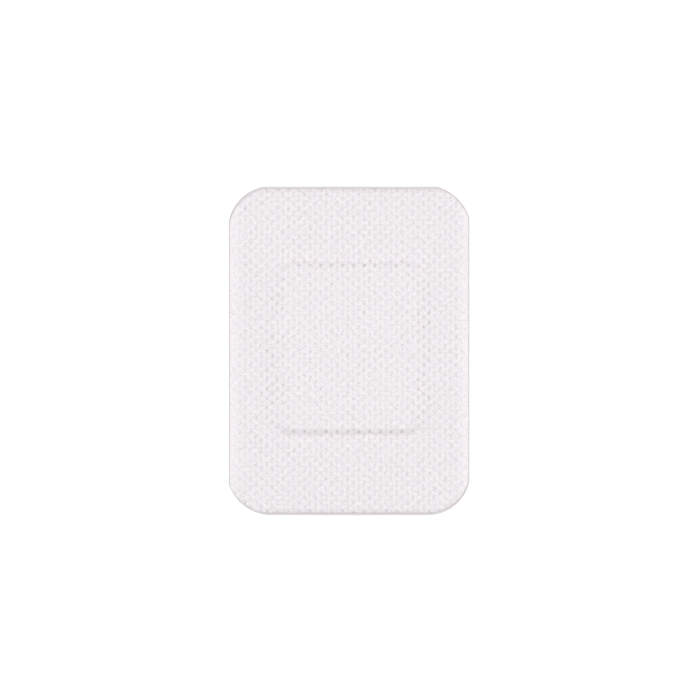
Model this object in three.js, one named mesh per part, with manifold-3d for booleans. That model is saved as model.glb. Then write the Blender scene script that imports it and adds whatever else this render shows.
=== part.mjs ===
// An adhesive island dressing, 60 x 82 mm, ready for use with its release papers on.
//
// From the skin side up it is two overlapping release papers, a perforated wound contact
// film laminated to an absorbent felt pad, and the backing fabric. The fabric is coated
// with adhesive underneath. It sticks to the papers round the margin and tents over the pad,
// whose outline shows through it. Its upper face has a relief of crests and pits in
// alternate places, like a plain weave.
//
// It lies flat on its papers. Only where they overlap is it a paper's thickness higher.
//
// Millimetres. +Z up, +Y along the length, origin under the centre of the papers.

import * as THREE from "three";
import { mergeVertices } from "three/addons/utils/BufferGeometryUtils.js";
import Module from "manifold-3d";

const wasm = await Module();
wasm.setup();

// Release papers
const dressingWidth = 60;
const dressingLength = 82;
const paperThickness = 0.1;
const overlapWidth = 12; // the right paper's grip tab, which lies under the left paper
const overlapStepRun = 0.8; // over this width the left paper steps up onto the tab

// Each corner is one arc of the corner knife, which meets the straight edges at kinks. It cuts
// the papers from this far along the end edge to this far along the side edge. The fabric has
// drawn in less at some corners than at others, so there its cut is shorter by fabricFuller.
const corners = [
  { x: 1, y: 1, alongEnd: 7.9, alongSide: 7.7, radius: 12.2, fabricFuller: 0.5 },
  { x: -1, y: 1, alongEnd: 8.7, alongSide: 8.6, radius: 10.7, fabricFuller: 0.15 },
  { x: -1, y: -1, alongEnd: 10.7, alongSide: 7.7, radius: 11.2, fabricFuller: 0.6 },
  { x: 1, y: -1, alongEnd: 10.5, alongSide: 8.2, radius: 10.7, fabricFuller: 0.15 },
];
const arcSegments = 12; // in each corner's arc

// Backing fabric. It draws in a little after the cut, so the papers show all round it.
const fabricSideInset = 0.35;
const fabricEndInset = 0.6;
const fabricThickness = 0.45; // at the crests
const pitDepth = 0.2;
const crestPitchAcross = 1.348; // from a crest to the pit beside it
const crestPitchAlong = 1.183;
const crestShiftAcross = -0.3; // from the middle of the dressing to the nearest crest
const edgeRollWidth = 1.8; // the knife presses the edge thin over this width
const edgeRollDepth = 0.16;
const overlapEase = 0.3; // room beside the step and the edge of the overlapping paper
const overlapDrapeRun = 3; // over this width the upper face evens out the step below

// Absorbent pad and its wound contact film
const padWidth = 30;
const padLength = 39;
const padThickness = 1.3;
const padCornerRadius = 1.2;
const padEdgeCrush = 0.25; // its edges are crushed round by the cut
const padCornerSegments = 6;
const padEdgeSegments = 2;
const padShiftAlong = 0.85; // towards +Y from the middle of the dressing
const filmThickness = 0.1;
const perforationRadius = 0.45;
const perforationSides = 6;
const perforationPitchAcross = 3.1;
const perforationPitchAlong = 3.6;
const filmMargin = 1.6; // from a perforation's centre to the film's edge, at least

// The tent of the fabric from the pad's top edge down to the papers
const tentEase = 0.3; // room between the pad's edge and the tent's shoulder
const tentRunSide = 4.2;
const tentRunEnd = 1.5;
const tentOuterEase = 0.4; // the fabric's upper face starts its fall this much farther out
const tentCornerRadius = 1.5;
const tentRings = 5;
const tentCornerSegments = 6;

// Levels, from the bottom up
const paperTop = paperThickness; // where the fabric's margin lies
const overlapTop = 2 * paperThickness; // where the film lies
const padLevel = overlapTop + filmThickness;
const padTop = padLevel + padThickness;
const tentRise = padTop - paperTop;
const beyond = 5; // how far a cutting block reaches past what it cuts

function material(color, roughness) {
  return new THREE.MeshStandardMaterial({ color, roughness, metalness: 0 });
}

const fabricWhite = material(0xeeeaec, 0.9);
const paperWhite = material(0xdedbdd, 0.55);
const feltWhite = material(0xf4f3f0, 1.0);
const filmWhite = material(0xf2f4f5, 0.35);

// A closed geometry as a manifold-3d solid, and back again.
function solid(geometry) {
  const bare = new THREE.BufferGeometry();
  bare.setAttribute("position", geometry.getAttribute("position"));
  bare.setIndex(geometry.getIndex());
  const merged = mergeVertices(bare, 1e-4);
  return new wasm.Manifold(
    new wasm.Mesh({
      numProp: 3,
      vertProperties: new Float32Array(merged.getAttribute("position").array),
      triVerts: new Uint32Array(merged.getIndex().array),
    }),
  );
}

function geometryOf(made) {
  const { vertProperties, triVerts } = made.getMesh();
  const geometry = new THREE.BufferGeometry();
  geometry.setAttribute("position", new THREE.BufferAttribute(vertProperties, 3));
  geometry.setIndex(new THREE.BufferAttribute(triVerts, 1));
  geometry.computeVertexNormals();
  return geometry;
}

function mesh(name, geometry, look) {
  const made = new THREE.Mesh(geometry, look);
  made.name = name;
  return made;
}

// A block between two opposite corners.
function block(low, high) {
  const size = high.clone().sub(low);
  const middle = high.clone().add(low).multiplyScalar(0.5);
  const geometry = new THREE.BoxGeometry(size.x, size.y, size.z);
  return geometry.translate(middle.x, middle.y, middle.z);
}

// Adds the arc of a given radius from the path's end to a point, turning left.
function arcTo(path, from, to, radius) {
  const middle = from.clone().add(to).multiplyScalar(0.5);
  const half = from.distanceTo(to) / 2;
  const inward = new THREE.Vector2(from.y - to.y, to.x - from.x).normalize();
  const centre = middle.addScaledVector(inward, Math.sqrt(radius * radius - half * half));
  const start = from.clone().sub(centre).angle();
  const end = to.clone().sub(centre).angle();
  path.absarc(centre.x, centre.y, radius, start, end, false);
}

// A knife-cut outline of given half width and half length. Its cuts are shorter by each
// corner's fabricFuller, times the share given.
function outline(halfWidth, halfLength, fullerShare) {
  const shape = new THREE.Shape();
  for (const corner of corners) {
    const fuller = corner.fabricFuller * fullerShare;
    const endX = halfWidth - corner.alongEnd + fuller;
    const sideY = halfLength - corner.alongSide + fuller;
    const onEnd = new THREE.Vector2(corner.x * endX, corner.y * halfLength);
    const onSide = new THREE.Vector2(corner.x * halfWidth, corner.y * sideY);
    const sideFirst = corner.x * corner.y > 0;
    const from = sideFirst ? onSide : onEnd;
    const to = sideFirst ? onEnd : onSide;
    if (corner === corners[0]) shape.moveTo(from.x, from.y);
    else shape.lineTo(from.x, from.y);
    arcTo(shape, from, to, corner.radius);
  }
  shape.closePath();
  return shape;
}

const paperOutline = outline(dressingWidth / 2, dressingLength / 2, 0);
const fabricHalfWidth = dressingWidth / 2 - fabricSideInset;
const fabricHalfLength = dressingLength / 2 - fabricEndInset;
const fabricOutline = outline(fabricHalfWidth, fabricHalfLength, 1);

// A shape as a prism between two levels.
function prism(shape, bottom, top) {
  const geometry = new THREE.ExtrudeGeometry(shape, {
    depth: top - bottom,
    bevelEnabled: false,
    curveSegments: arcSegments / 2, // an arc gets two for each of these
  });
  return geometry.translate(0, 0, bottom);
}

// The right paper is flat, and its tab reaches under the left one.
function rightPaper() {
  const reach = block(
    new THREE.Vector3(-overlapWidth / 2, -dressingLength, -beyond),
    new THREE.Vector3(dressingWidth, dressingLength, paperTop + beyond),
  );
  return solid(prism(paperOutline, 0, paperTop)).intersect(solid(reach));
}

// The left paper steps up onto the right one's tab.
function leftPaper() {
  const stepEnd = -overlapWidth / 2;
  const stepStart = stepEnd - overlapStepRun;
  const section = new THREE.Shape();
  section.moveTo(-dressingWidth, 0);
  section.lineTo(stepStart, 0);
  section.lineTo(stepEnd, paperTop);
  section.lineTo(overlapWidth / 2, paperTop);
  section.lineTo(overlapWidth / 2, overlapTop);
  section.lineTo(stepEnd, overlapTop);
  section.lineTo(stepStart, paperTop);
  section.lineTo(-dressingWidth, paperTop);
  section.closePath();
  const strip = new THREE.ExtrudeGeometry(section, { depth: 2 * dressingLength, bevelEnabled: false });
  strip.rotateX(Math.PI / 2).translate(0, dressingLength, 0);
  return solid(strip).intersect(solid(prism(paperOutline, -beyond, overlapTop + beyond)));
}

// How far the tent runs out from the pad, in a direction seen from above.
function tentRunAt(angle) {
  return 1 / Math.hypot(Math.cos(angle) / tentRunSide, Math.sin(angle) / tentRunEnd);
}

// An even fall from 1 to 0, as the fabric drapes from the pad's top down to the papers.
function tentProfile(share) {
  return share * share * (3 - 2 * share);
}

const shoulderHalfWidth = padWidth / 2 + tentEase;
const shoulderHalfLength = padLength / 2 + tentEase;

// The same at a point of the fabric's upper face.
function tentShare(x, y) {
  const across = Math.abs(x) - (shoulderHalfWidth + tentOuterEase - tentCornerRadius);
  const along = Math.abs(y - padShiftAlong) - (shoulderHalfLength + tentOuterEase - tentCornerRadius);
  const outX = Math.max(across, 0);
  const outY = Math.max(along, 0);
  const out = Math.hypot(outX, outY) - tentCornerRadius;
  const gone = out / tentRunAt(Math.atan2(outY, outX));
  return tentProfile(1 - THREE.MathUtils.clamp(gone, 0, 1));
}

// One level ring of the tent, from 0 at its shoulder to 1 at its foot.
function tentRing(gone) {
  const points = [];
  for (const [quarter, x, y] of [[0, 1, 1], [1, -1, 1], [2, -1, -1], [3, 1, -1]]) {
    for (let step = 0; step <= tentCornerSegments; step++) {
      const angle = (quarter + step / tentCornerSegments) * (Math.PI / 2);
      const reach = tentCornerRadius + gone * tentRunAt(angle);
      points.push(
        new THREE.Vector2(
          x * (shoulderHalfWidth - tentCornerRadius) + reach * Math.cos(angle),
          y * (shoulderHalfLength - tentCornerRadius) + reach * Math.sin(angle) + padShiftAlong,
        ),
      );
    }
  }
  return points;
}

// A loft through level rings of as many points each, from the lowest up, closed at both ends.
function loft(rings) {
  const count = rings[0].points.length;
  const positions = rings.flatMap(({ points, z }) => points.flatMap((point) => [point.x, point.y, z]));
  const index = [];
  for (let ring = 0; ring + 1 < rings.length; ring++) {
    for (let i = 0; i < count; i++) {
      const a = ring * count + i;
      const b = ring * count + ((i + 1) % count);
      index.push(a, b, b + count, a, b + count, a + count);
    }
  }
  const top = (rings.length - 1) * count;
  for (let i = 1; i + 1 < count; i++) {
    index.push(0, i + 1, i);
    index.push(top, top + i, top + i + 1);
  }
  const geometry = new THREE.BufferGeometry();
  geometry.setAttribute("position", new THREE.BufferAttribute(new Float32Array(positions), 3));
  geometry.setIndex(index);
  return geometry;
}

// All that lies under the fabric: the space of the papers and the tent over the pad.
function underFabric() {
  const flat = block(
    new THREE.Vector3(-dressingWidth, -dressingLength, -2 * beyond),
    new THREE.Vector3(dressingWidth, dressingLength, paperTop),
  );
  const overlapReach = overlapWidth / 2 + overlapEase;
  const overlap = block(
    new THREE.Vector3(-overlapReach - overlapStepRun, -dressingLength, -beyond),
    new THREE.Vector3(overlapReach, dressingLength, overlapTop),
  );
  const rings = [{ points: tentRing(1), z: paperTop - beyond }];
  for (let ring = 0; ring < tentRings; ring++) {
    const share = ring / (tentRings - 1);
    rings.push({ points: tentRing(1 - share), z: paperTop + tentRise * tentProfile(share) });
  }
  return solid(flat).add(solid(overlap)).add(solid(loft(rings)));
}

// How much the overlap of the papers lifts the fabric at a distance from the middle line.
function overlapLift(x) {
  const past = Math.abs(x) - overlapWidth / 2 - overlapStepRun;
  return paperThickness * tentProfile(1 - THREE.MathUtils.clamp(past / overlapDrapeRun, 0, 1));
}

// How much the knife has pressed the fabric down at a point near its edge.
function edgeRoll(x, y) {
  const radius = corners.reduce((sum, corner) => sum + corner.alongSide, 0) / corners.length;
  const across = Math.abs(x) - (fabricHalfWidth - radius);
  const along = Math.abs(y) - (fabricHalfLength - radius);
  const inside = radius - Math.hypot(Math.max(across, 0), Math.max(along, 0));
  const pressed = 1 - THREE.MathUtils.clamp(inside / edgeRollWidth, 0, 1);
  return edgeRollDepth * pressed * pressed;
}

// A block whose top is the fabric's upper face, with a crest or a pit at each grid point.
function fabricRelief() {
  const columns = Math.ceil(dressingWidth / 2 / crestPitchAcross) + 1;
  const rows = Math.ceil(dressingLength / 2 / crestPitchAlong) + 1;
  const positions = [];
  const index = [];
  const wide = 2 * columns + 1;
  const long = 2 * rows + 1;
  for (let j = -rows; j <= rows; j++) {
    for (let i = -columns; i <= columns; i++) {
      const x = i * crestPitchAcross + crestShiftAcross;
      const y = j * crestPitchAlong;
      const pit = (i + j) % 2 === 0 ? 0 : pitDepth;
      const under = paperTop + Math.max(tentRise * tentShare(x, y), overlapLift(x));
      positions.push(x, y, under + fabricThickness - pit - edgeRoll(x, y));
    }
  }
  const at = (i, j) => j * wide + i;
  for (let j = 0; j + 1 < long; j++) {
    for (let i = 0; i + 1 < wide; i++) {
      // each cell folds along the line between its two crests
      const crestFirst = (i - columns + j - rows) % 2 === 0;
      const [a, b, c, d] = [at(i, j), at(i + 1, j), at(i + 1, j + 1), at(i, j + 1)];
      if (crestFirst) index.push(a, b, c, a, c, d);
      else index.push(a, b, d, b, c, d);
    }
  }
  // the rim of the grid, anticlockwise, dropped to a flat bottom
  const rim = [];
  for (let i = 0; i + 1 < wide; i++) rim.push(at(i, 0));
  for (let j = 0; j + 1 < long; j++) rim.push(at(wide - 1, j));
  for (let i = wide - 1; i > 0; i--) rim.push(at(i, long - 1));
  for (let j = long - 1; j > 0; j--) rim.push(at(0, j));
  const foot = positions.length / 3;
  for (const point of rim) positions.push(positions[3 * point], positions[3 * point + 1], -beyond);
  const centre = foot + rim.length;
  positions.push(0, 0, -beyond);
  rim.forEach((point, k) => {
    const next = (k + 1) % rim.length;
    index.push(point, foot + k, foot + next, point, foot + next, rim[next]);
    index.push(centre, foot + next, foot + k);
  });
  const geometry = new THREE.BufferGeometry();
  geometry.setAttribute("position", new THREE.BufferAttribute(new Float32Array(positions), 3));
  geometry.setIndex(index);
  return geometry;
}

function backingFabric() {
  const cut = prism(fabricOutline, -beyond, padTop + beyond);
  return solid(fabricRelief()).intersect(solid(cut)).subtract(underFabric());
}

// A rectangle with rounded corners round the origin.
function roundedRectangle(width, length, radius) {
  const x = width / 2;
  const y = length / 2;
  const shape = new THREE.Shape();
  shape.moveTo(x - radius, -y);
  shape.absarc(x - radius, radius - y, radius, -Math.PI / 2, 0, false);
  shape.absarc(x - radius, y - radius, radius, 0, Math.PI / 2, false);
  shape.absarc(radius - x, y - radius, radius, Math.PI / 2, Math.PI, false);
  shape.absarc(radius - x, radius - y, radius, Math.PI, Math.PI * 1.5, false);
  shape.closePath();
  return shape;
}

// A cut block of needled felt, with its top and bottom edges rounded.
function absorbentPad() {
  const geometry = new THREE.ExtrudeGeometry(roundedRectangle(padWidth, padLength, padCornerRadius), {
    depth: padThickness - 2 * padEdgeCrush,
    bevelThickness: padEdgeCrush,
    bevelSize: padEdgeCrush,
    bevelOffset: -padEdgeCrush,
    bevelSegments: padEdgeSegments,
    curveSegments: padCornerSegments / 2,
  });
  return geometry.translate(0, padShiftAlong, padLevel + padEdgeCrush);
}

// The film under the pad, with staggered rows of round perforations.
function contactFilm() {
  const shape = roundedRectangle(padWidth, padLength, padCornerRadius);
  const rows = Math.floor((padLength / 2 - filmMargin) / perforationPitchAlong);
  for (let row = -rows; row <= rows; row++) {
    const stagger = Math.abs(row % 2) * 0.5;
    const reach = padWidth / 2 - filmMargin;
    const columns = Math.floor(reach / perforationPitchAcross) + 1;
    for (let column = -columns; column <= columns; column++) {
      const x = (column + stagger) * perforationPitchAcross;
      if (Math.abs(x) > reach) continue;
      const hole = new THREE.Path();
      hole.absarc(x, row * perforationPitchAlong, perforationRadius, 0, Math.PI * 2, true);
      shape.holes.push(hole);
    }
  }
  const geometry = new THREE.ExtrudeGeometry(shape, {
    depth: filmThickness,
    bevelEnabled: false,
    curveSegments: perforationSides / 2,
  });
  return geometry.translate(0, padShiftAlong, overlapTop);
}

const dressing = new THREE.Group();
dressing.add(
  mesh("backing_fabric", geometryOf(backingFabric()), fabricWhite),
  mesh("absorbent_pad", absorbentPad(), feltWhite),
  mesh("wound_contact_film", contactFilm(), filmWhite),
  mesh("release_paper_left", geometryOf(leftPaper()), paperWhite),
  mesh("release_paper_right", geometryOf(rightPaper()), paperWhite),
);

export default dressing;
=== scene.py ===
"""Dresses an adhesive island dressing that lies on its release papers, seen from above.

The backing fabric and the absorbent pad are modelled here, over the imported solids. The film
and the release papers keep their solids and get their finish. Metres, +Z up.
"""

import math
from functools import lru_cache

import bmesh
import bpy
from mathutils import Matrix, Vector, noise


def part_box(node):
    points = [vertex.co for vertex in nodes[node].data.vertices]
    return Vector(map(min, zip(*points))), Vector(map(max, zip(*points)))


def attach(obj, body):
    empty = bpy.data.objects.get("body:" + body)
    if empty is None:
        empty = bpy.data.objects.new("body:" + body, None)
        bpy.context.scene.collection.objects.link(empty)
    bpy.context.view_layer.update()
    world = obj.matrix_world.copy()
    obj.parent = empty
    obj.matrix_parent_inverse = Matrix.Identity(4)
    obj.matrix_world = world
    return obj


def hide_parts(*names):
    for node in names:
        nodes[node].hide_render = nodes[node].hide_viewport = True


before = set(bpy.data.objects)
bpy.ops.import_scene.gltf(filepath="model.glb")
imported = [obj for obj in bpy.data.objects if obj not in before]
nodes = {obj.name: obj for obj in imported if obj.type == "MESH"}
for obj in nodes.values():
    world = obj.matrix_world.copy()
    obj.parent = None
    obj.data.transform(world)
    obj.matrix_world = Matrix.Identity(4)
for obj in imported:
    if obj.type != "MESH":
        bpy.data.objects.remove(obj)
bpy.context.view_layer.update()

MM = 0.001

# The fabric is coated and cut with the papers, which show all round where it has drawn in.
# Each corner is one arc: from this far along the end edge to this far along the side edge.
CORNERS = [
    {"x": 1, "y": 1, "along_end": 7.4, "along_side": 7.2, "radius": 12.2},
    {"x": -1, "y": 1, "along_end": 8.75, "along_side": 8.65, "radius": 10.7},
    {"x": -1, "y": -1, "along_end": 9.8, "along_side": 6.8, "radius": 11.2},
    {"x": 1, "y": -1, "along_end": 10.35, "along_side": 8.05, "radius": 10.7},
]
CORNER_STEPS = 14  # in each arc

fabric_low, fabric_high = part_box("backing_fabric")
pad_low, pad_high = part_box("absorbent_pad")
paper_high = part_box("release_paper_left")[1]

FABRIC_WIDER = 0.1 * MM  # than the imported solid, at each side
FABRIC_HALF = Vector((fabric_high.x + FABRIC_WIDER, fabric_high.y))
FABRIC_THICKNESS = 0.45 * MM
FABRIC_STEP = 0.25 * MM  # spacing of its mesh
PAPER_TOP = fabric_low.z

# Overlap of the papers
OVERLAP_TOP = paper_high.z
OVERLAP_HALF = 6.0 * MM
OVERLAP_STEP = 0.8 * MM  # over this width the left paper steps up onto the right one's tab
OVERLAP_EASE = 0.3 * MM  # room for that step and for the left paper's edge
OVERLAP_DRAPE = 3.0 * MM  # over this width the fabric's face evens out the step

# Weave: threads this far apart, over and under each other in turn
THREAD_ACROSS = 1.348 * MM
THREAD_ALONG = 1.183 * MM
THREAD_SHIFT = -0.3 * MM  # from the dressing's middle to the nearest crest
RELIEF = 0.1 * MM  # from the middle level up to a crest, or down to a pit
CREST_RELIEF = 0.75  # its share in the crests and pits
THREAD_RELIEF = 0.15  # its share in each set of threads
HOLE_RELIEF = 0.5  # how much deeper a pit is that has opened, as a share of it
WANDER = 0.1  # how far the threads stray, in thread spacings
WANDER_SIZE = 7 * MM
FRAY = 0.08  # the same for the ragged edges of the crests and pits
FRAY_SIZE = 0.9 * MM
UNEVEN = 0.35  # how much the crests and pits differ in strength
UNEVEN_SIZE = 1.4 * MM
SWELL = 0.03 * MM  # of the whole face
SWELL_SIZE = 9 * MM

# The layer of noise that each use of it takes
LAYER = {
    "wander_across": 3.1,
    "wander_along": 8.7,
    "fray_across": 2.4,
    "fray_along": 6.6,
    "uneven": 5.5,
    "swell": 1.7,
    "patch": 39.59,
    "luck": 4.5,
    "felt": 4.0,
}

# How grey the web is, from 0 at its whitest to 1 in a stretched pit, and what changes it: partly
# the web's thinness, partly painted light and shade
MEAN_TONE = 0.36  # between the crests and the pits, over the pad
FLAT_TONE = 0.03  # added where the web lies on the papers
WEAVE_TONE = 0.17  # added in the pits and taken off on the crests: partly the web's thinness in the pits, partly painted shade in them
WARP_TONE = 0.125  # painted shade, added in the middle of the threads along the length, which leaves their flanks lighter
WEFT_TONE = 0.05  # added between the threads across it: painted shade there, with the web's thinness between them
HOLE_TONE = 0.76  # added in a pit that has opened into a hole: partly the web's thinness there, partly painted shade in the hole
SIDE_PAINTED_LIGHT = 0.26  # painted light, taken off along the sides over the band that the rule pressed
END_PAINTED_SHADE = 0.3  # painted shade, added at the very ends
SLOPE_PAINTED_LIGHT = 0.16  # painted light, taken off where the tent's ends pull, on the end slopes
GREYEST_TONE = 1.5  # the greyest tone, in the middle of the widest holes

# Pits that have opened into small holes
HOLES_FLAT = 0.1  # the share of the pits, away from the tent
HOLES_SIDE = 0.7  # what the pull at the tent's sides adds to it
HOLES_END = 1.4  # what the pull at its ends adds
HOLES_EVEN = 4.0  # how alike the opened ones are
HOLES_WIDER = 0.6  # how much wider they are at the tent's ends
HOLE_EDGE = 3.2  # how soon a hole ends away from its pit's middle
PATCH = 1.6  # how much the pull at the sides comes and goes
PATCH_SIZE = 4 * MM

# Tent of the fabric over the pad
PAD_HALF = Vector((pad_high.x, (pad_high.y - pad_low.y) / 2))
PAD_MIDDLE = (pad_high.y + pad_low.y) / 2
TENT_MIDDLE = PAD_MIDDLE - 0.2 * MM  # the fabric was laid a touch off the pad's middle
TENT_EASE = 0.3 * MM  # room between the pad's edge and the tent's shoulder
TENT_OUTER_EASE = 0.1 * MM  # the fabric's upper face starts its fall this much farther out
TENT_RUN_SIDE = 4.2 * MM  # from a shoulder out to where the fabric meets the papers
TENT_RUN_END = 2.1 * MM
PULL_RUN_SIDE = 6.2 * MM  # how far out the tent's sides pull the fabric
TENT_CORNER = 1.5 * MM  # radius
CORNER_SLACK = 1.0 * MM  # this far into the tent's corners it no longer pulls
TENT_RISE = pad_high.z - PAPER_TOP

# Edges, which the knife has pressed
PRESS_SIDE = 3.6 * MM  # the width that the rule pressed flat along each side
PRESSED_FLAT = 0.8  # the share of the weave that it pressed out at the very edge
END_BAND = 1.3 * MM  # the width of the painted shade along each end
ROLL_SIDE = 2.3 * MM  # the width that it rolled down along each side
ROLL_END = 1.5 * MM
ROLL_DEPTH = 0.16 * MM

# Pad
PAD_STEP = 0.5 * MM  # spacing of its mesh
PAD_ROUND = 0.35 * MM  # its edges are crushed round by the cut
PAD_CORNER = 1.2 * MM  # radius
PAD_CORNER_STEPS = 7
PAD_LUMPS = 0.03 * MM
PAD_LUMP_SIZE = 1.5 * MM
CLEARANCE = 0.02 * MM  # between the pad and the fabric


def ease(share):
    """An even rise from 0 to 1, for a share that is clamped to that range."""
    share = min(max(share, 0.0), 1.0)
    return share * share * (3 - 2 * share)


def noise_at(x, y, size, layer):
    """Smooth noise from about -1 to 1, with lumps of a given size."""
    return noise.noise(Vector((x / size, y / size, layer)))


# Outlines


def corner_arc(corner, half):
    """A corner's centre, radius and angles at the end edge and the side edge, as at +X +Y."""
    on_end = Vector((half.x - corner["along_end"] * MM, half.y))
    on_side = Vector((half.x, half.y - corner["along_side"] * MM))
    chord = on_side - on_end
    middle = (on_end + on_side) / 2
    radius = corner["radius"] * MM
    reach = math.sqrt(radius * radius - chord.length_squared / 4)
    centre = middle + Vector((chord.y, -chord.x)).normalized() * reach
    end_angle = math.atan2(on_end.y - centre.y, on_end.x - centre.x)
    side_angle = math.atan2(on_side.y - centre.y, on_side.x - centre.x)
    return centre, radius, end_angle, side_angle


def arc_points(corner, half):
    """The points of a corner's arc, from the end edge to the side edge."""
    centre, radius, end_angle, side_angle = corner_arc(corner, half)
    points = []
    for step in range(CORNER_STEPS + 1):
        angle = end_angle + (side_angle - end_angle) * step / CORNER_STEPS
        point = centre + radius * Vector((math.cos(angle), math.sin(angle)))
        points.append(Vector((corner["x"] * point.x, corner["y"] * point.y, 0)))
    return points


def trim_corner(bm, points, margin):
    """Cuts a flat grid's corner off along a row of points."""
    reach_x = min(abs(point.x) for point in points) - margin
    reach_y = min(abs(point.y) for point in points) - margin
    side_x = math.copysign(1, points[0].x)
    side_y = math.copysign(1, points[0].y)
    for start, end in zip(points, points[1:]):
        along = (end - start).normalized()
        outward = Vector((along.y, -along.x, 0))
        if outward.x * side_x + outward.y * side_y < 0:
            outward.negate()
        near = [
            face for face in bm.faces
            if face.verts[0].co.x * side_x > reach_x and face.verts[0].co.y * side_y > reach_y
        ]
        edges = {edge for face in near for edge in face.edges}
        verts = {vert for face in near for vert in face.verts}
        bmesh.ops.bisect_plane(
            bm, geom=near + list(edges) + list(verts), dist=1e-8,
            plane_co=start, plane_no=outward, clear_outer=True,
        )


def flat_grid(half, step, corners):
    """A flat grid of quads, trimmed at its corners."""
    bm = bmesh.new()
    columns = round(2 * half.x / step)
    rows = round(2 * half.y / step)
    bmesh.ops.create_grid(bm, x_segments=columns, y_segments=rows, size=1)
    bmesh.ops.scale(bm, vec=(half.x, half.y, 1), verts=bm.verts)
    for points in corners:
        trim_corner(bm, points, 2 * step)
    return bm


def thicken(bm, top_height, under_height):
    """Closes a flat grid into a solid between two height functions."""
    made = bmesh.ops.extrude_face_region(bm, geom=bm.faces[:], use_keep_orig=True)["geom"]
    top_verts = {part for part in made if isinstance(part, bmesh.types.BMVert)}
    for vert in bm.verts:
        height = top_height if vert in top_verts else under_height
        vert.co.z = height(vert.co.x, vert.co.y)
    bmesh.ops.recalc_face_normals(bm, faces=bm.faces)
    for face in bm.faces:
        face.smooth = True
    under = [face for face in bm.faces if not any(vert in top_verts for vert in face.verts)]
    return top_verts, under


def piece_from(bm, name, material):
    """A finished piece from a bmesh, riding on the dressing."""
    mesh = bpy.data.meshes.new(name)
    bm.to_mesh(mesh)
    bm.free()
    piece = bpy.data.objects.new(name, mesh)
    bpy.context.scene.collection.objects.link(piece)
    mesh.materials.append(material)
    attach(piece, "root")
    return piece


# Heights of the fabric


def tent_fall(x, y, farther):
    """How far a point is out from the tent's top, and which way: 0 to a side, pi / 2 to an end."""
    across = abs(x) - (PAD_HALF.x + TENT_EASE + farther - TENT_CORNER)
    along = abs(y - TENT_MIDDLE) - (PAD_HALF.y + TENT_EASE + farther - TENT_CORNER)
    out_x = max(across, 0.0)
    out_y = max(along, 0.0)
    return math.hypot(out_x, out_y) - TENT_CORNER, math.atan2(out_y, out_x)


def share_left(out, angle, run_side):
    """What is left of the tent's height that far out, where its sides run out this far."""
    if out <= 0:
        return 1.0
    run = 1 / math.hypot(math.cos(angle) / run_side, math.sin(angle) / TENT_RUN_END)
    return ease(1 - out / run)


def tent_share(x, y, farther):
    """The tent's height at a point: 1 over the pad, 0 out on the papers."""
    out, angle = tent_fall(x, y, farther)
    return share_left(out, angle, TENT_RUN_SIDE)


def overlap_lift(x):
    """How far the overlap of the papers lifts the fabric."""
    past = abs(x) - OVERLAP_HALF - OVERLAP_STEP
    return (OVERLAP_TOP - PAPER_TOP) * ease(1 - past / OVERLAP_DRAPE)


@lru_cache(maxsize=None)
def threads(x, y):
    """The thread counts at a point, across and along, with the threads' wandering."""
    stray_across = WANDER * noise_at(x, y, WANDER_SIZE, LAYER["wander_across"])
    stray_along = WANDER * noise_at(x, y, WANDER_SIZE, LAYER["wander_along"])
    return (x - THREAD_SHIFT) / THREAD_ACROSS + stray_across, y / THREAD_ALONG + stray_along


@lru_cache(maxsize=None)
def weave(x, y):
    """The weave at a point: its crests and pits from 1 to -1, and its two sets of threads."""
    across, along = threads(x, y)
    across = math.pi * (across + FRAY * noise_at(x, y, FRAY_SIZE, LAYER["fray_across"]))
    along = math.pi * (along + FRAY * noise_at(x, y, FRAY_SIZE, LAYER["fray_along"]))
    strength = 1 + UNEVEN * noise_at(x, y, UNEVEN_SIZE, LAYER["uneven"])
    return strength * math.cos(across) * math.cos(along), math.cos(2 * across), math.cos(2 * along)


def side_press(x):
    """1 at the fabric's side edges, which the knife's rule pressed flat, to 0 further in."""
    return 1 - ease((FABRIC_HALF.x - abs(x)) / PRESS_SIDE)


@lru_cache(maxsize=None)
def tent_pull(x, y):
    """How hard the tent pulls the fabric, from 0 to 1, and how much of it is an end's pull."""
    out, angle = tent_fall(x, y, TENT_OUTER_EASE)
    share = share_left(out, angle, PULL_RUN_SIDE)
    into_corner = (out + TENT_CORNER) * min(math.cos(angle), math.sin(angle))
    taut = 1 - ease(into_corner / CORNER_SLACK)
    return 4 * share * (1 - share) * taut, math.sin(angle) ** 2


@lru_cache(maxsize=None)
def pit_hole(x, y):
    """How far the hole of the pit nearest to a point is open there, from 0 past its edge to 1."""
    across, along = threads(x, y)
    pull, end_share = tent_pull(x, y)
    patch = 1 + PATCH * (1 - end_share) * noise_at(x, y, PATCH_SIZE, LAYER["patch"])
    pulled = HOLES_SIDE * (1 - end_share) * math.sqrt(pull) + HOLES_END * end_share * pull
    # Each pit has its own luck, from -1 to 1
    luck = noise.cell(Vector((round(across) + 0.5, round(along) + 0.5, LAYER["luck"])))
    opened = ease(HOLES_EVEN * (2 * (HOLES_FLAT + pulled * patch) - luck - 1))
    opened *= 1 + HOLES_WIDER * end_share * pull
    off_middle = 1 + math.cos(math.pi * across) * math.cos(math.pi * along)
    return min(max(opened - HOLE_EDGE * off_middle, 0.0), 1.0)


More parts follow.
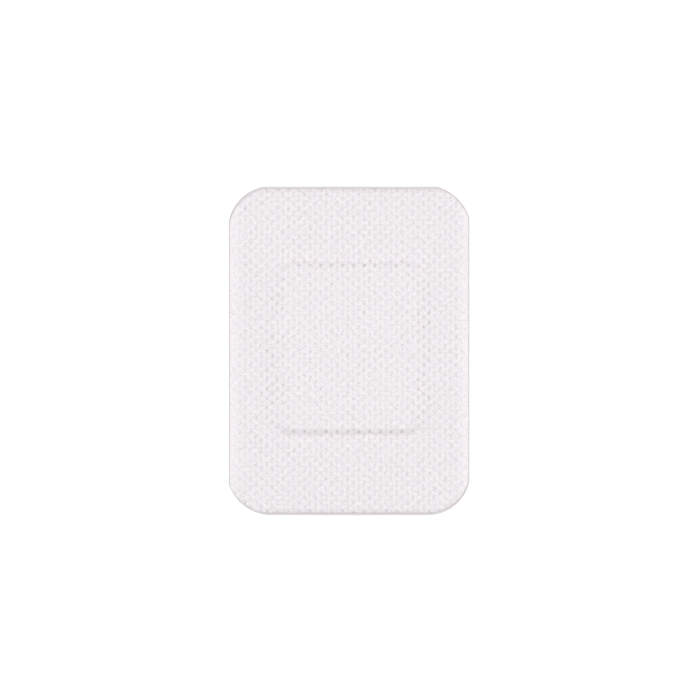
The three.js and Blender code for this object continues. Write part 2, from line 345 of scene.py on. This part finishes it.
def thin_and_shaded_share(x, y):
    """How grey the web is at a point, from its thinness and from painted light and shade: 0 at its
    whitest, 1 in a stretched pit.
    """
    turn, warp, weft = weave(x, y)
    # Painted light lies along the sides, over the band that side_press gives.
    press = side_press(x)
    # The weave's pattern is partly the web's thinness and partly painted shade in its pits and
    # between its threads.
    pattern = WEAVE_TONE * turn - WARP_TONE * warp + WEFT_TONE * weft
    # The tent's pull also sets the painted light on its end slopes.
    pull, end_share = tent_pull(x, y)
    # Painted shade along the very ends.
    end = END_PAINTED_SHADE * (1 - ease((FABRIC_HALF.y - abs(y)) / END_BAND))
    flat = FLAT_TONE * (1 - tent_share(x, y, TENT_OUTER_EASE))
    level = MEAN_TONE + flat - SIDE_PAINTED_LIGHT * press + end - SLOPE_PAINTED_LIGHT * pull * end_share
    # Opened holes get the web's thinness and painted shade.
    return level - pattern * (1 - PRESSED_FLAT * press) + HOLE_TONE * pit_hole(x, y)


FABRIC_ARCS = {(corner["x"], corner["y"]): corner_arc(corner, FABRIC_HALF) for corner in CORNERS}


def edge_roll(x, y):
    """How far the knife rolled the edge down at a point: 1 at the very edge, 0 further in."""
    side_roll = 1 - min((FABRIC_HALF.x - abs(x)) / ROLL_SIDE, 1.0)
    end_roll = 1 - min((FABRIC_HALF.y - abs(y)) / ROLL_END, 1.0)
    centre, radius, end_angle, side_angle = FABRIC_ARCS[math.copysign(1, x), math.copysign(1, y)]
    out = Vector((abs(x), abs(y))) - centre
    angle = math.atan2(out.y, out.x)
    if not side_angle <= angle <= end_angle:
        return max(side_roll, end_roll)
    width = ROLL_SIDE + (ROLL_END - ROLL_SIDE) * (angle - side_angle) / (end_angle - side_angle)
    return max(side_roll, end_roll, 1 - min((radius - out.length) / width, 1.0))


def fabric_top(x, y):
    """The height of the fabric's upper face."""
    share = tent_share(x, y, TENT_OUTER_EASE)
    base = PAPER_TOP + max(TENT_RISE * share, overlap_lift(x))
    turn, warp, weft = weave(x, y)
    relief = CREST_RELIEF * turn + THREAD_RELIEF * (weft - warp) - HOLE_RELIEF * pit_hole(x, y)
    relief *= RELIEF * (1 - PRESSED_FLAT * side_press(x))
    swell = SWELL * noise_at(x, y, SWELL_SIZE, LAYER["swell"])
    roll = ROLL_DEPTH * edge_roll(x, y) ** 2
    return base + FABRIC_THICKNESS - RELIEF + relief + swell - roll


def fabric_under(x, y):
    """The height of the fabric's underside, which clears the pad and the overlap's step."""
    share = tent_share(x, y, 0.0)
    level = PAPER_TOP + TENT_RISE * share
    if share > 0:
        level += CLEARANCE
    over_tab = -OVERLAP_HALF - OVERLAP_STEP - OVERLAP_EASE < x < OVERLAP_HALF + OVERLAP_EASE
    return max(level, OVERLAP_TOP) if over_tab else level


# Materials


def new_material(name, color, roughness):
    """A plain material, and its shader for what is joined on later."""
    material = bpy.data.materials.new(name)
    material.use_nodes = True
    shader = material.node_tree.nodes["Principled BSDF"]
    shader.inputs["Base Color"].default_value = (*color, 1)
    shader.inputs["Roughness"].default_value = roughness
    return material, shader


def add_node(owner, kind, **settings):
    """A node with its attributes and inputs set. Inputs are named with spaces as underscores."""
    node = owner.node_tree.nodes.new(kind)
    for key, value in settings.items():
        if hasattr(node, key):
            setattr(node, key, value)
        else:
            node.inputs[key.replace("_", " ")].default_value = value
    return node


def link(owner, out_socket, in_socket):
    """Joins two sockets in a material or a world."""
    owner.node_tree.links.new(out_socket, in_socket)


def object_noise(material, scale, detail, roughness):
    """Noise over Object coordinates, with its own number of lumps to the metre on each axis."""
    coordinates = add_node(material, "ShaderNodeTexCoord")
    mapping = add_node(material, "ShaderNodeMapping", Scale=scale)
    texture = add_node(
        material, "ShaderNodeTexNoise", Scale=1.0, Detail=detail, Roughness=roughness,
    )
    link(material, coordinates.outputs["Object"], mapping.inputs["Vector"])
    link(material, mapping.outputs["Vector"], texture.inputs["Vector"])
    return texture.outputs["Fac"]


def ramp(material, factor, low, high, low_color, high_color):
    """Colours between two levels of a factor."""
    node = add_node(material, "ShaderNodeValToRGB")
    node.color_ramp.elements[0].position = low
    node.color_ramp.elements[0].color = (*low_color, 1)
    node.color_ramp.elements[1].position = high
    node.color_ramp.elements[1].color = (*high_color, 1)
    link(material, factor, node.inputs["Fac"])
    return node.outputs["Color"]


def combined(owner, operation, first, second):
    """Two factors through one operation. The second may be a plain number."""
    node = add_node(owner, "ShaderNodeMath", operation=operation)
    link(owner, first, node.inputs[0])
    if isinstance(second, float):
        node.inputs[1].default_value = second
    else:
        link(owner, second, node.inputs[1])
    return node.outputs[0]


def bump(material, shader, height, distance, strength, under=None):
    """Adds a bump to the shader, over another bump if there is one."""
    node = add_node(material, "ShaderNodeBump", Distance=distance, Strength=strength)
    link(material, height, node.inputs["Height"])
    if under is not None:
        link(material, under.outputs["Normal"], node.inputs["Normal"])
    link(material, node.outputs["Normal"], shader.inputs["Normal"])
    return node


# The web's colours from whitest to greyest, which carry the painted light and shade of its pit
# tone as well as its thinness.
WEB_THICK_AND_LIT = (0.956, 0.914, 0.938)
WEB_THIN_AND_SHADED = (0.591, 0.551, 0.575)
TUFT_TONE = 1.5  # how much thinner and thicker the tufts make the web


def fabric_material():
    """Matt white web, thinner and greyer in its pits, with the painted light and shade of its
    "pit" tone, and fibres drawn along and across.
    """
    material, shader = new_material("woven_look_web", (0.86, 0.825, 0.845), 0.92)
    shader.inputs["Specular IOR Level"].default_value = 0.25
    shader.inputs["Sheen Weight"].default_value = 0.08
    pit = add_node(material, "ShaderNodeAttribute", attribute_name="pit")
    tufts_along = object_noise(material, (4200, 1300, 2000), 1.0, 0.6)
    tufts_across = object_noise(material, (1300, 4200, 2000), 1.0, 0.6)
    tufts = combined(material, "ADD", tufts_along, tufts_across)
    about_zero = combined(material, "SUBTRACT", tufts, 1.0)
    uneven = combined(material, "MULTIPLY", about_zero, TUFT_TONE)
    # The tufts' random tone, added to the pit tone with its painted light and shade.
    thin_and_shaded = combined(material, "ADD", uneven, pit.outputs["Fac"])
    share = combined(material, "DIVIDE", thin_and_shaded, GREYEST_TONE)
    tone = ramp(material, share, 0.0, 1.0, WEB_THICK_AND_LIT, WEB_THIN_AND_SHADED)
    link(material, tone, shader.inputs["Base Color"])
    along = object_noise(material, (9000, 900, 9000), 2.0, 0.6)
    across = object_noise(material, (900, 9000, 9000), 2.0, 0.6)
    first = bump(material, shader, along, 0.03 * MM, 0.5)
    bump(material, shader, across, 0.03 * MM, 0.5, first)
    return material


def felt_material():
    """Soft needled felt, with short fibres every way."""
    material, shader = new_material("needled_felt", (0.88, 0.87, 0.85), 1.0)
    shader.inputs["Sheen Weight"].default_value = 0.2
    cloud = object_noise(material, (400, 400, 400), 4.0, 0.7)
    tone = ramp(material, cloud, 0.3, 0.7, (0.84, 0.83, 0.81), (0.9, 0.89, 0.87))
    link(material, tone, shader.inputs["Base Color"])
    fibres = object_noise(material, (6000, 1500, 6000), 4.0, 0.7)
    bump(material, shader, fibres, 0.1 * MM, 0.6)
    return material


def film_material():
    """Thin clear-white film over the felt."""
    material, shader = new_material("contact_film", (0.88, 0.89, 0.9), 0.3)
    cloud = object_noise(material, (700, 700, 700), 3.0, 0.6)
    tone = ramp(material, cloud, 0.3, 0.7, (0.86, 0.87, 0.88), (0.91, 0.92, 0.93))
    link(material, tone, shader.inputs["Base Color"])
    wrinkles = object_noise(material, (500, 1500, 500), 3.0, 0.6)
    bump(material, shader, wrinkles, 0.1 * MM, 0.25)
    return material


def paper_material():
    """Smooth greyish release paper with a faint grain."""
    material, shader = new_material("release_paper", (0.69, 0.66, 0.682), 0.5)
    cloud = object_noise(material, (900, 900, 900), 5.0, 0.65)
    tone = ramp(material, cloud, 0.3, 0.7, (0.675, 0.645, 0.667), (0.705, 0.675, 0.697))
    link(material, tone, shader.inputs["Base Color"])
    grain = object_noise(material, (5000, 5000, 5000), 3.0, 0.6)
    bump(material, shader, grain, 0.02 * MM, 0.3)
    return material


def dress(node_name, material):
    """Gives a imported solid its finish."""
    node = nodes[node_name]
    node.data.materials.clear()
    node.data.materials.append(material)


# Pieces


def make_fabric():
    """The fabric as one closed sheet, which stores the tone of its upper face as "pit": its
    thinness, with painted light and shade.
    """
    arcs = [arc_points(corner, FABRIC_HALF) for corner in CORNERS]
    bm = flat_grid(FABRIC_HALF, FABRIC_STEP, arcs)
    pit_layer = bm.verts.layers.float.new("pit")
    top_verts, under = thicken(bm, fabric_top, fabric_under)
    for vert in top_verts:
        vert[pit_layer] = thin_and_shaded_share(vert.co.x, vert.co.y)
    under_edges = {edge for face in under for edge in face.edges}
    under_verts = {vert for face in under for vert in face.verts}
    bmesh.ops.dissolve_limit(
        bm, angle_limit=math.radians(1), use_dissolve_boundaries=False,
        verts=list(under_verts), edges=list(under_edges),
    )
    fabric = piece_from(bm, "draped_backing_fabric", fabric_material())
    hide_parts("backing_fabric")


def pad_face(x, y, sign):
    """The height of the pad's upper (1) or lower (-1) face: crushed round at its edges."""
    inside = min(PAD_HALF.x - abs(x), PAD_HALF.y - abs(y - PAD_MIDDLE))
    half_height = (pad_high.z - pad_low.z) / 2
    fall = PAD_ROUND * (1 - math.sqrt(1 - (1 - min(inside / PAD_ROUND, 1.0)) ** 2))
    lumps = PAD_LUMPS * (1 + noise_at(x, y, PAD_LUMP_SIZE, LAYER["felt"] + sign))
    return pad_low.z + half_height + sign * (half_height - fall - lumps)


def pad_corner(side_x, side_y):
    """The points of a quarter circle round one of the pad's corners."""
    centre = Vector((PAD_HALF.x - PAD_CORNER, PAD_HALF.y - PAD_CORNER))
    points = []
    for step in range(PAD_CORNER_STEPS + 1):
        angle = math.pi / 2 * step / PAD_CORNER_STEPS
        point = centre + PAD_CORNER * Vector((math.cos(angle), math.sin(angle)))
        points.append(Vector((side_x * point.x, side_y * point.y, 0)))
    return points


def make_pad():
    """A cut block of needled felt."""
    arcs = [pad_corner(side_x, side_y) for side_x in (-1, 1) for side_y in (-1, 1)]
    bm = flat_grid(PAD_HALF, PAD_STEP, arcs)
    bmesh.ops.translate(bm, vec=(0, PAD_MIDDLE, 0), verts=bm.verts)
    thicken(bm, lambda x, y: pad_face(x, y, 1), lambda x, y: pad_face(x, y, -1))
    pad = piece_from(bm, "needled_pad", felt_material())
    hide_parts("absorbent_pad")


make_pad()
make_fabric()
paper = paper_material()
dress("release_paper_left", paper)
dress("release_paper_right", paper)
dress("wound_contact_film", film_material())

# Floor, lights and camera

ROOM_LIGHT = 0.487
LEFT_POWER = 2.15
RIGHT_POWER = 2.2
BOX_SIZE = Vector((0.4, 0.8))
BOX_PLACE = Vector((0.5, 0.04, 0.4))  # of the right one
FLOOR_SIZE = 4.0
FLOOR_GLOW = {"From Min": 0.1, "From Max": 0.5, "To Min": 0.25, "To Max": 0.9}  # by distance
IMAGE_WIDTH = 174.6 * MM  # what the photograph takes in, at the dressing
LENS = 100.0
SENSOR = 36.0
OFF_CENTRE = Vector((0.22 * MM, 0.22 * MM))  # from the dressing's middle to the picture's


def seen_rays(owner):
    """1 for what the camera sees, straight, mirrored or through glass, and 0 for other light."""
    rays = add_node(owner, "ShaderNodeLightPath").outputs
    seen = combined(owner, "MAXIMUM", rays["Is Camera Ray"], rays["Is Glossy Ray"])
    return combined(owner, "MAXIMUM", seen, rays["Is Transmission Ray"])


def white_floor():
    """A white table that stays white to the camera and keeps the dressing's shadow."""
    bpy.ops.mesh.primitive_plane_add(size=FLOOR_SIZE, location=(0, 0, 0))
    floor = bpy.context.object
    floor.name = "table"
    material, shader = new_material("white_table", (0.9, 0.9, 0.9), 0.9)
    coordinates = add_node(material, "ShaderNodeTexCoord")
    distance = add_node(material, "ShaderNodeVectorMath", operation="LENGTH")
    link(material, coordinates.outputs["Object"], distance.inputs[0])
    glow = add_node(material, "ShaderNodeMapRange")
    link(material, distance.outputs["Value"], glow.inputs["Value"])
    for name, value in FLOOR_GLOW.items():
        glow.inputs[name].default_value = value
    strength = combined(material, "MULTIPLY", seen_rays(material), glow.outputs["Result"])
    shader.inputs["Emission Color"].default_value = (1, 1, 1, 1)
    link(material, strength, shader.inputs["Emission Strength"])
    floor.data.materials.append(material)


def side_light(name, side, power):
    """A long soft box beside the dressing."""
    data = bpy.data.lights.new(name, "AREA")
    data.shape = "RECTANGLE"
    data.size = BOX_SIZE.x
    data.size_y = BOX_SIZE.y
    data.energy = power
    lamp = bpy.data.objects.new(name, data)
    lamp.location = (side * BOX_PLACE.x, BOX_PLACE.y, BOX_PLACE.z)
    bpy.context.scene.collection.objects.link(lamp)
    lamp.rotation_euler = (-lamp.location).to_track_quat("-Z", "Y").to_euler()


def studio():
    """The table, the two soft boxes and an even white room."""
    white_floor()
    side_light("left_box", -1, LEFT_POWER)
    side_light("right_box", 1, RIGHT_POWER)
    world = bpy.data.worlds.new("room")
    world.use_nodes = True
    background = world.node_tree.nodes["Background"]
    background.inputs["Color"].default_value = (1, 1, 1, 1)
    level = add_node(world, "ShaderNodeMapRange")
    link(world, seen_rays(world), level.inputs["Value"])
    level.inputs["To Min"].default_value = ROOM_LIGHT
    link(world, level.outputs["Result"], background.inputs["Strength"])
    bpy.context.scene.world = world
    bpy.context.scene.view_settings.view_transform = "Standard"


def camera_above():
    """A camera straight above, that takes in as much as the photograph does."""
    data = bpy.data.cameras.new("camera_above")
    data.lens = LENS
    data.sensor_width = SENSOR
    camera = bpy.data.objects.new("camera_above", data)
    distance = IMAGE_WIDTH * LENS / SENSOR
    camera.location = (OFF_CENTRE.x, OFF_CENTRE.y, distance + PAPER_TOP)
    data.clip_start = 0.01
    data.clip_end = 10
    bpy.context.scene.collection.objects.link(camera)
    bpy.context.scene.camera = camera


studio()
camera_above()
